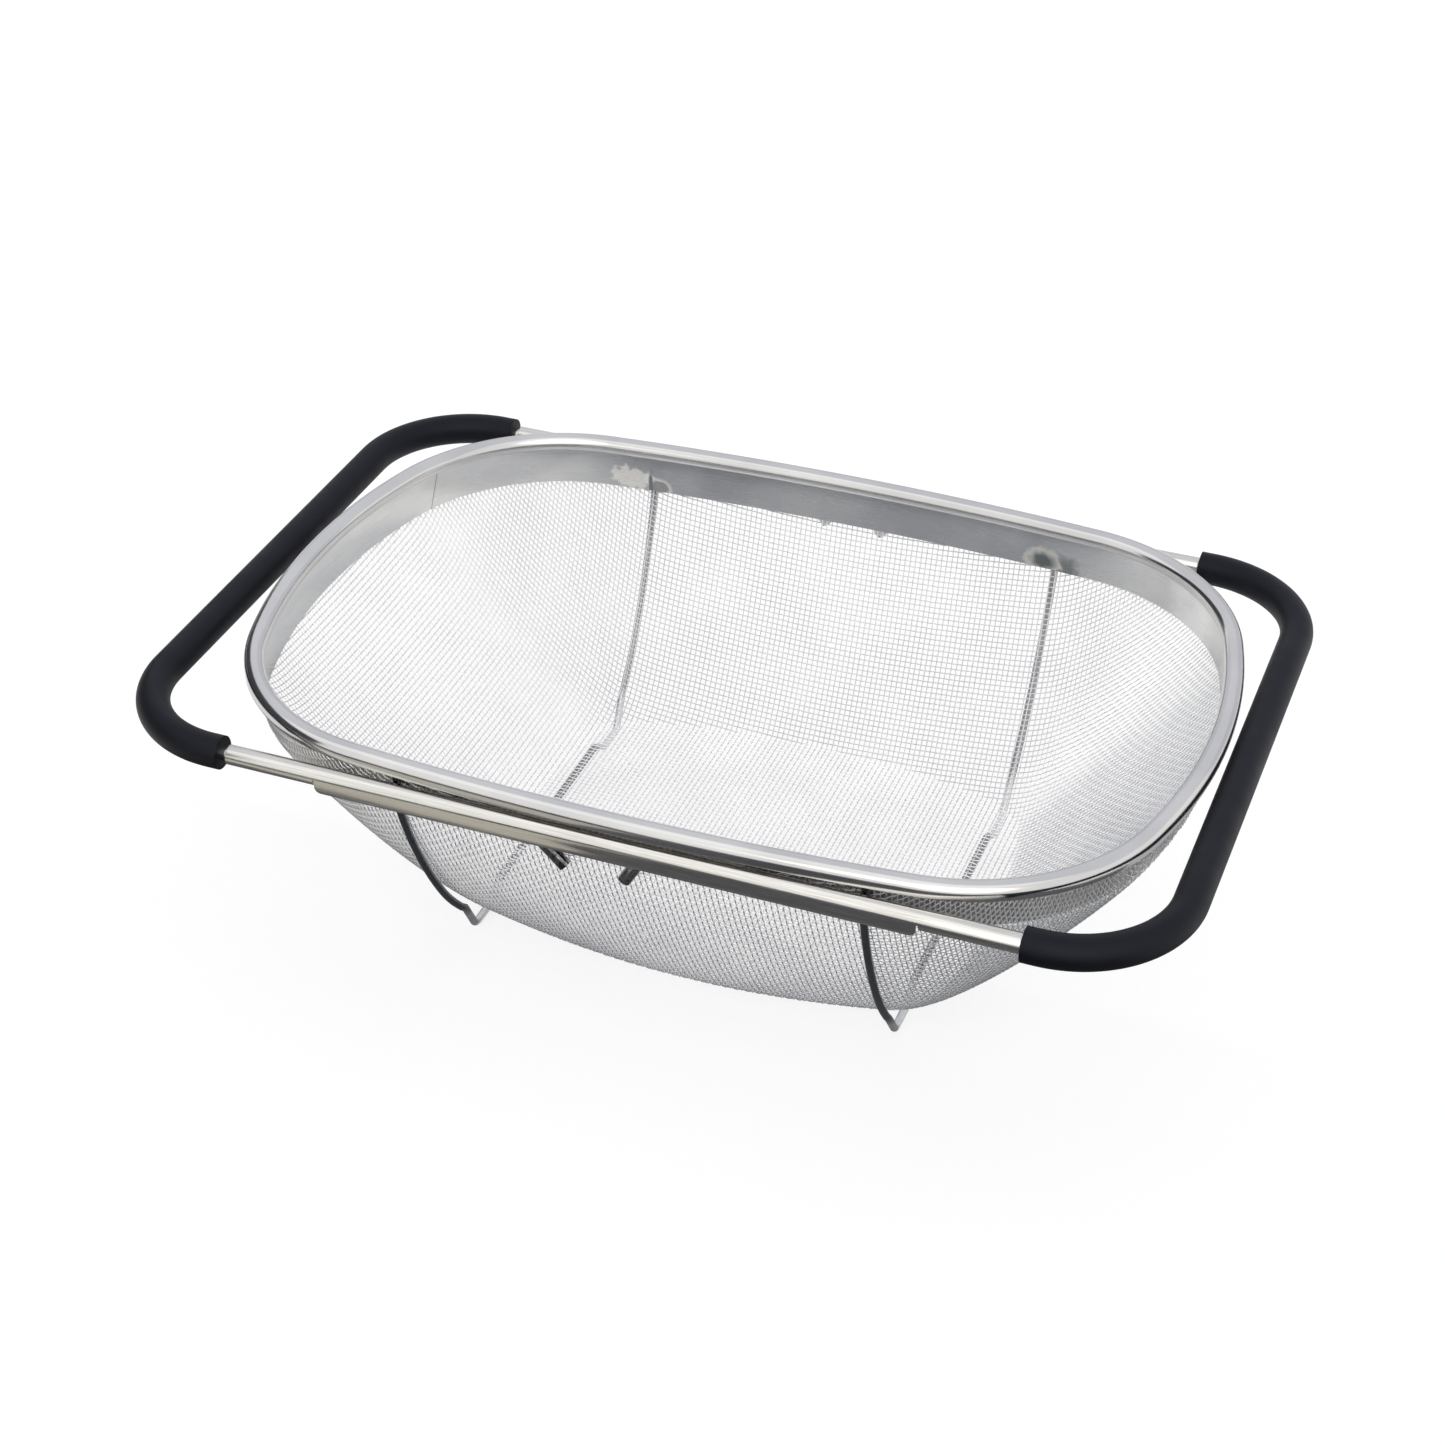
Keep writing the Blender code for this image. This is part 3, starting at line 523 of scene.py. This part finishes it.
def round_corners(corners, radius, steps):
    """A line through corners, each inner corner turned into an arc."""
    line = [corners[0]]
    for before, corner, after in zip(corners, corners[1:], corners[2:]):
        inward, outward = (corner - before).normalized(), (after - corner).normalized()
        turn = inward.angle(outward)
        centre = corner + (outward - inward).normalized() * (radius / math.cos(turn / 2))
        arm = corner - inward * (radius * math.tan(turn / 2)) - centre
        axis = inward.cross(outward)
        line += [centre + Matrix.Rotation(turn * step / steps, 3, axis) @ arm for step in range(steps + 1)]
    return line + [corners[-1]]


def draw_wire(line, radius, sides):
    """A round wire along a line, as a mesh with closed ends."""
    bpy.ops.object.select_all(action="DESELECT")
    data = bpy.data.curves.new("wire", "CURVE")
    data.dimensions = "3D"
    data.bevel_depth = radius
    data.bevel_resolution = (sides - 4) // 2
    data.use_fill_caps = True
    spline = data.splines.new("POLY")
    spline.points.add(len(line) - 1)
    for point, place in zip(spline.points, line):
        point.co = (*place, 1.0)
    wire = bpy.data.objects.new("wire", data)
    bpy.context.scene.collection.objects.link(wire)
    bpy.context.view_layer.objects.active = wire
    wire.select_set(True)
    bpy.ops.object.convert(target="MESH")
    bpy.ops.object.mode_set(mode="EDIT")
    bpy.ops.mesh.select_all(action="SELECT")
    bpy.ops.mesh.remove_doubles(threshold=0.000001)
    bpy.ops.mesh.normals_make_consistent(inside=False)
    bpy.ops.object.mode_set(mode="OBJECT")
    return bpy.context.object


def leg_x(side, height):
    """Where a leg stands along X at a height: both lean outwards a little."""
    return basket_x + legs_to_right + side * (leg_spacing + leg_lean * height / lip_height)


def width_at(ring, x):
    """How far back a ring of the bowl reaches at a place along X."""
    back = sorted((point.x, point.y) for point in ring if point.y > 0.0)
    for (x0, y0), (x1, y1) in zip(back, back[1:]):
        if x0 <= x <= x1:
            return y0 + (y1 - y0) * (x - x0) / (x1 - x0)


def leg_line(side):
    """Centre line of a leg, from the band at the back to the band at the front."""
    top, band_foot = lip_height - leg_top_below_lip, lip_height - band_depth
    half = [Vector((leg_x(side, top), width_at(bowl_ring(0.0), leg_x(side, top)) + leg_stand_off, top))]
    last = (band_foot - leg_leaves_cloth) / (band_foot - floor_height)
    steps, slope_span = 36, last / 9
    for step in range(steps + 1):
        depth = last * step / steps
        ring, lower = bowl_ring(depth), bowl_ring(min(depth + slope_span, 1.0))
        x = leg_x(side, ring[0].z)
        width = width_at(ring, x)
        fall = ring[0].z - lower[0].z
        slope = math.hypot(width - width_at(lower, x), fall) / fall
        bow = leg_bow * math.sin(math.pi / 2 * step / steps)
        half.append(Vector((x, width + leg_stand_off * slope + bow, ring[0].z)))
    foot_x = leg_x(side, 0.0)
    under_floor = floor_height - leg_below_floor - foot_wire_height
    foot = [half[-1], Vector((foot_x, foot_heel, foot_wire_height)),
            Vector((foot_x, foot_toe, foot_wire_height)),
            Vector((foot_x, foot_rise_end, under_floor)), Vector((foot_x, 0.0, under_floor))]
    half = half[:-1] + round_corners(foot, leg_bend, 8)
    return half + [Vector((point.x, -point.y, point.z)) for point in reversed(half[:-1])]


for name, side in (("left_leg", -1), ("right_leg", 1)):
    draw_wire(leg_line(side), leg_radius, 20)
    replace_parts(finish_piece(f"{name}_wire", "basket", leg_steel, 60.0), name)


# Sleeves: each a strip of 0.7 mm stainless rolled round a mandrel. Both ends are closed to a
# tube; between them it stays open underneath, with straight walls, so that the bent ends of
# the rods can travel along the slot.
sleeve_height = 0.1019
sleeve_y = 0.1263
sleeve_x = basket_x - 0.0027
sleeve_wall = 0.0007
sleeve_radius = 0.0037 - sleeve_wall / 2
sleeve_half, slot_half = 0.1476, 0.1125
slot_wall_drop, slot_wall_setback, slot_corner = 0.005, 0.0006, 0.0024

# Polished strip: it mirrors the studio along its whole length, with fine lines drawn out by
# the rolling that blur the mirror a little across them. They lie 0.4 mm apart, coarser than
# real ones so that they show.
sleeve_steel, sleeve_shader = new_material("polished rolled stainless strip", "#d0ceca", 1.0, 0.2)
rolled_lines = clouds(sleeve_steel, place_on_piece(sleeve_steel, (0.02, 1.0, 1.0)), 2600.0, 2.0)
sleeve_tone = add_node(sleeve_steel, "ShaderNodeMix", {
    "Factor": rolled_lines, 6: linear("#dad7d1"), 7: linear("#e8e6e0")}, data_type="RGBA").outputs[2]
sleeve_gloss = add_node(sleeve_steel, "ShaderNodeMapRange", {
    "Value": rolled_lines, "To Min": 0.16, "To Max": 0.26}).outputs["Result"]
sleeve_ridges = add_node(sleeve_steel, "ShaderNodeBump", {
    "Height": rolled_lines, "Distance": 0.000002}).outputs["Normal"]
feed(sleeve_steel, sleeve_shader, Base_Color=sleeve_tone, Roughness=sleeve_gloss, Normal=sleeve_ridges)

for name, side in (("front_sleeve", -1), ("back_sleeve", 1)):
    bpy.ops.object.select_all(action="DESELECT")
    bpy.ops.mesh.primitive_cylinder_add(vertices=48, radius=sleeve_radius, depth=2 * sleeve_half,
                                        end_fill_type="NOTHING", rotation=(0.0, math.pi / 2, 0.0))
    bpy.ops.object.transform_apply(location=True, rotation=True, scale=True)
    bpy.ops.object.mode_set(mode="EDIT")
    for place in (-slot_half, slot_wall_setback - slot_half, slot_half - slot_wall_setback, slot_half):
        bpy.ops.mesh.select_all(action="SELECT")
        bpy.ops.mesh.bisect(plane_co=(place, 0.0, 0.0), plane_no=(1.0, 0.0, 0.0))
    bpy.ops.mesh.select_mode(type="FACE")
    bpy.ops.mesh.select_all(action="DESELECT")
    shape = bmesh.from_edit_mesh(bpy.context.object.data)
    for face in shape.faces:
        centre = face.calc_center_median()
        face.select = centre.z < 0.0 and abs(centre.x) < slot_half
    bmesh.update_edit_mesh(bpy.context.object.data)
    bpy.ops.mesh.delete(type="FACE")
    select_points(lambda p: abs(p.z) < 0.00001 and abs(p.x) < slot_half - slot_wall_setback + touching)
    bpy.ops.mesh.extrude_region_move(TRANSFORM_OT_translate={"value": (0.0, 0.0, -slot_wall_drop)})
    select_points(lambda p: p.z < touching - slot_wall_drop)
    bpy.ops.mesh.bevel(offset=slot_corner, segments=5, affect="VERTICES")
    bpy.ops.mesh.select_all(action="SELECT")
    bpy.ops.mesh.remove_doubles(threshold=0.00001)
    bpy.ops.mesh.normals_make_consistent(inside=False)
    bpy.ops.object.mode_set(mode="OBJECT")
    apply_modifier("SOLIDIFY", thickness=sleeve_wall, offset=0.0, use_even_offset=True)
    apply_modifier("BEVEL", width=0.00015, segments=2, limit_method="ANGLE", angle_limit=math.radians(60.0))
    bpy.context.object.location = (sleeve_x, side * sleeve_y, sleeve_height)
    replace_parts(finish_piece(f"{name}_strip", "basket", sleeve_steel), name)


# Handle rods: each one a 5 mm bright wire bent to a U, its two inner ends bent down, at 60
# and 45 degrees, so that they can't leave the sleeves.
rod_radius = 0.0025
reach = 0.1942
bow_radius = 0.0414
bow_steps = 32
stop_drop = 0.0135
stop_bend = 0.006
long_leg_end, long_leg_angle = 0.0058, 60
short_leg_end, short_leg_angle = 0.014, 45
rod_places = (("left", math.pi, sleeve_x - 0.0025), ("right", 0.0, sleeve_x))

# Bright drawn rod, burnished by sliding in the sleeves. Its draw marks are 0.45 mm apart, coarser
# than real ones so that they show, and the front stops, under the sleeves, are painted darker in
# mottled spots of about 2 mm: painted shade.
rod_steel, rod_shader = new_material("bright drawn stainless rod", "#d2d0cc", 1.0, 0.12)
drawn_lines = clouds(rod_steel, place_on_piece(rod_steel, (0.02, 1.0, 1.0)), 2200.0, 2.0)
rod_place = add_node(rod_steel, "ShaderNodeSeparateXYZ", {0: place_on_piece(rod_steel)}).outputs
# painted shade on the front stops, under the sleeves
shaded_front_stops = add_node(rod_steel, "ShaderNodeMapRange", {
    "Value": rod_place["Z"], "From Min": 0.0955, "From Max": 0.0985,
    "To Min": 1.0, "To Max": 0.0}).outputs["Result"]
in_front = add_node(rod_steel, "ShaderNodeMath", {0: rod_place["Y"], 1: 0.0},
                    operation="LESS_THAN").outputs[0]
shaded_front_stops = add_node(rod_steel, "ShaderNodeMath", {0: shaded_front_stops, 1: in_front}, operation="MULTIPLY").outputs[0]
stop_shade_spots = clouds(rod_steel, place_on_piece(rod_steel), 500.0, 2.0)
stop_shade_tone = add_node(rod_steel, "ShaderNodeMix", {
    "Factor": stop_shade_spots, 6: linear("#5a5b5a"), 7: linear("#b0afab")}, data_type="RGBA").outputs[2]
bright_tone = add_node(rod_steel, "ShaderNodeMix", {
    "Factor": drawn_lines, 6: linear("#cbc9c5"), 7: linear("#dad8d4")}, data_type="RGBA").outputs[2]
rod_tone = add_node(rod_steel, "ShaderNodeMix", {
    "Factor": shaded_front_stops, 6: bright_tone, 7: stop_shade_tone}, data_type="RGBA").outputs[2]
rod_gloss = add_node(rod_steel, "ShaderNodeMapRange", {
    "Value": drawn_lines, "To Min": 0.07, "To Max": 0.18}).outputs["Result"]
feed(rod_steel, rod_shader, Base_Color=rod_tone, Roughness=rod_gloss)


def stop_end(end_x, y, angle):
    """The bent-down end of a rod and the bend that leads to it."""
    angle = math.radians(angle)
    stub = (stop_drop - stop_bend * (1 - math.cos(angle))) / math.sin(angle)
    run = stop_bend * math.sin(angle) + stub * math.cos(angle)
    line = [Vector((end_x, y, -stop_drop))]
    steps = 8
    for step in range(steps, -1, -1):
        turn = angle * step / steps
        line.append(Vector((end_x + run - stop_bend * math.sin(turn), y, stop_bend * (math.cos(turn) - 1))))
    return line


def bow_line(start_x):
    """The U of a handle, from its front leg round to its back leg."""
    corners = [Vector((start_x, -sleeve_y, 0.0)), Vector((reach, -sleeve_y, 0.0)),
               Vector((reach, sleeve_y, 0.0)), Vector((start_x, sleeve_y, 0.0))]
    return round_corners(corners, bow_radius, bow_steps)


for side, turn, x in rod_places:
    line = stop_end(long_leg_end, -sleeve_y, long_leg_angle) + bow_line(sleeve_half)[1:-1]
    line += list(reversed(stop_end(short_leg_end, sleeve_y, short_leg_angle)))
    draw_wire(line, rod_radius, 32)
    apply_modifier("BEVEL", width=0.0003, segments=2, limit_method="ANGLE", angle_limit=math.radians(70.0))
    bpy.context.object.rotation_euler.z = turn
    bpy.context.object.location = (x, 0.0, sleeve_height)
    piece = finish_piece(f"{side}_rod_wire", f"{side}_handle", rod_steel, 60.0)
    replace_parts(piece, f"{side}_handle_rod")


# Grips: each one a 12.6 mm tube of black rubber, extruded as a hose and cut square. It is
# pushed on over the rod's bow, and its own stretch holds it there.
grip_radius = 0.0063
grip_wall = 0.0035
straight_end = 0.0049
cut_end = Vector((0.0012, 0.0, 0.0))

# Black rubber tube: nearly black, with a broad dull sheen that hands have worn in patches
# about 17 mm across, and the very fine grain of a hose that was extruded and not moulded,
# here 0.3 mm.
grip_rubber, grip_shader = new_material("matt black rubber tube", "#08090b", 0.0, 0.5)
grip_shader.inputs["Specular IOR Level"].default_value = 0.32
grip_shader.inputs["Specular Tint"].default_value = linear("#d8dcf4")
grain = clouds(grip_rubber, place_on_piece(grip_rubber), 3500.0, 2.0)
worn = clouds(grip_rubber, place_on_piece(grip_rubber), 60.0, 3.0)
grip_tone = add_node(grip_rubber, "ShaderNodeMix", {
    "Factor": worn, 6: linear("#07080a"), 7: linear("#0b0c0f")}, data_type="RGBA").outputs[2]
grip_gloss = add_node(grip_rubber, "ShaderNodeMapRange", {
    "Value": worn, "To Min": 0.46, "To Max": 0.56}).outputs["Result"]
grip_grain = add_node(grip_rubber, "ShaderNodeBump", {
    "Height": grain, "Distance": 0.00002}).outputs["Normal"]
feed(grip_rubber, grip_shader, Base_Color=grip_tone, Roughness=grip_gloss, Normal=grip_grain)

for side, turn, x in rod_places:
    bow = bow_line(reach - bow_radius - straight_end)
    draw_wire([bow[0], bow[0] + cut_end, *bow[1:-1], bow[-1] + cut_end, bow[-1]], grip_radius, 48)
    bpy.ops.object.mode_set(mode="EDIT")
    bpy.ops.mesh.select_mode(type="FACE")
    bpy.ops.mesh.select_all(action="DESELECT")
    shape = bmesh.from_edit_mesh(bpy.context.object.data)
    for face in shape.faces:
        face.select = len(face.verts) > 4
    bmesh.update_edit_mesh(bpy.context.object.data)
    bpy.ops.mesh.delete(type="FACE")
    bpy.ops.object.mode_set(mode="OBJECT")
    apply_modifier("SOLIDIFY", thickness=grip_wall, offset=-1.0, use_even_offset=True)
    apply_modifier("BEVEL", width=0.00035, segments=3, limit_method="ANGLE", angle_limit=math.radians(60.0))
    bpy.context.object.rotation_euler.z = turn
    bpy.context.object.location = (x, 0.0, sleeve_height)
    piece = finish_piece(f"{side}_grip_tube", f"{side}_handle", grip_rubber)
    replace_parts(piece, f"{side}_grip")


# Studio: white paper, white all round, and two very wide soft lamps: a warm one low behind the
# camera and a weaker one overhead. Reflections alone show the cards: a pale ceiling and wall, a
# dark one at the left, and dark and grey ones on the floor, which give polished metal its edges.
bpy.ops.object.select_all(action="DESELECT")
bpy.ops.mesh.primitive_plane_add(size=12.0)
floor = bpy.context.object
floor.name = "paper_floor"
# Matt white paper: the camera sees it white, with the object's soft shadow left on it, and it
# gives no light of its own to the object.
paper, paper_shader = new_material("matt white paper", "#fbfbfb", 0.0, 0.95)
paper_shader.inputs["Emission Color"].default_value = linear("#ffffff")
seen = add_node(paper, "ShaderNodeLightPath").outputs["Is Camera Ray"]
paper_tone = add_node(paper, "ShaderNodeMix", {
    "Factor": seen, 6: linear("#fbfbfb"), 7: linear("#a0a0a0")}, data_type="RGBA").outputs[2]
paper_glow = add_node(paper, "ShaderNodeMapRange", {
    "Value": seen, "To Min": 0.0, "To Max": 0.70}).outputs["Result"]
feed(paper, paper_shader, Base_Color=paper_tone, Emission_Strength=paper_glow)
floor.data.materials.append(paper)

scene = bpy.context.scene
scene.view_settings.view_transform = "Standard"
world = bpy.data.worlds.new("studio")
scene.world = world
world.use_nodes = True
world.node_tree.nodes.clear()
rays = add_node(world, "ShaderNodeLightPath").outputs
seen = add_node(world, "ShaderNodeMath", {0: rays["Is Camera Ray"], 1: rays["Is Glossy Ray"]},
                operation="MAXIMUM").outputs[0]
seen = add_node(world, "ShaderNodeMath", {0: seen, 1: rays["Is Transmission Ray"]},
                operation="MAXIMUM").outputs[0]
brightness = add_node(world, "ShaderNodeMapRange", {
    "Value": seen, "To Min": 0.75, "To Max": 1.0}).outputs["Result"]
backdrop = add_node(world, "ShaderNodeBackground", {"Color": linear("#ffffff"), "Strength": brightness})
add_node(world, "ShaderNodeOutputWorld", {"Surface": backdrop.outputs[0]})


def soft_lamp(name, toward, power, spread, colour):
    """A wide soft lamp far away, which lights from one side."""
    bpy.ops.object.light_add(type="SUN", rotation=Vector(toward).to_track_quat("Z", "Y").to_euler())
    lamp = bpy.context.object
    lamp.name = name
    lamp.data.energy = power
    lamp.data.angle = math.radians(spread)
    lamp.data.color = linear(colour)[:3]


soft_lamp("main_light", (0.25, -0.85, 0.62), 0.48, 50.0, "#fff8ec")
soft_lamp("top_light", (-0.2, 0.3, 1.0), 0.35, 100.0, "#f4f6ff")


def card(name, place, size, turn, tone):
    """An evenly lit card that shows in reflections alone."""
    bpy.ops.mesh.primitive_plane_add(size=1.0, location=place, rotation=turn)
    panel = bpy.context.object
    panel.name = name
    panel.scale = (*size, 1.0)
    paint, shader = new_material(name, "#000000", 0.0, 1.0)
    shader.inputs["Emission Color"].default_value = linear(tone)
    shader.inputs["Emission Strength"].default_value = 1.0
    panel.data.materials.append(paint)
    for kind in ("camera", "diffuse", "transmission", "volume_scatter", "shadow"):
        setattr(panel, f"visible_{kind}", False)


card("grey_ceiling", (0.0, 1.45, 1.6), (6.0, 3.1), (0.0, 0.0, 0.0), "#e2e4ea")
card("grey_wall", (0.0, 3.0, 0.8), (6.0, 1.6), (math.pi / 2, 0.0, 0.0), "#d2d2dc")
card("dark_left", (-1.4, 0.0, 0.45), (0.9, 2.4), (0.0, math.pi / 2, 0.0), "#3a3b3f")
card("dark_under_front", (0.02, -0.115, 0.002), (0.56, 0.17), (0.0, 0.0, 0.0), "#5e5f62")
card("grey_under_back", (0.02, 0.05, 0.002), (0.56, 0.16), (0.0, 0.0, 0.0), "#bcbcc0")
card("dark_front", (0.2, -0.78, 0.002), (2.6, 0.84), (0.0, 0.0, 0.0), "#47484b")
card("dark_near_right", (0.47, -0.28, 0.002), (1.06, 0.16), (0.0, 0.0, 0.0), "#4b4c50")
card("grey_near_left", (-0.43, -0.28, 0.002), (0.74, 0.16), (0.0, 0.0, 0.0), "#c0bcb2")
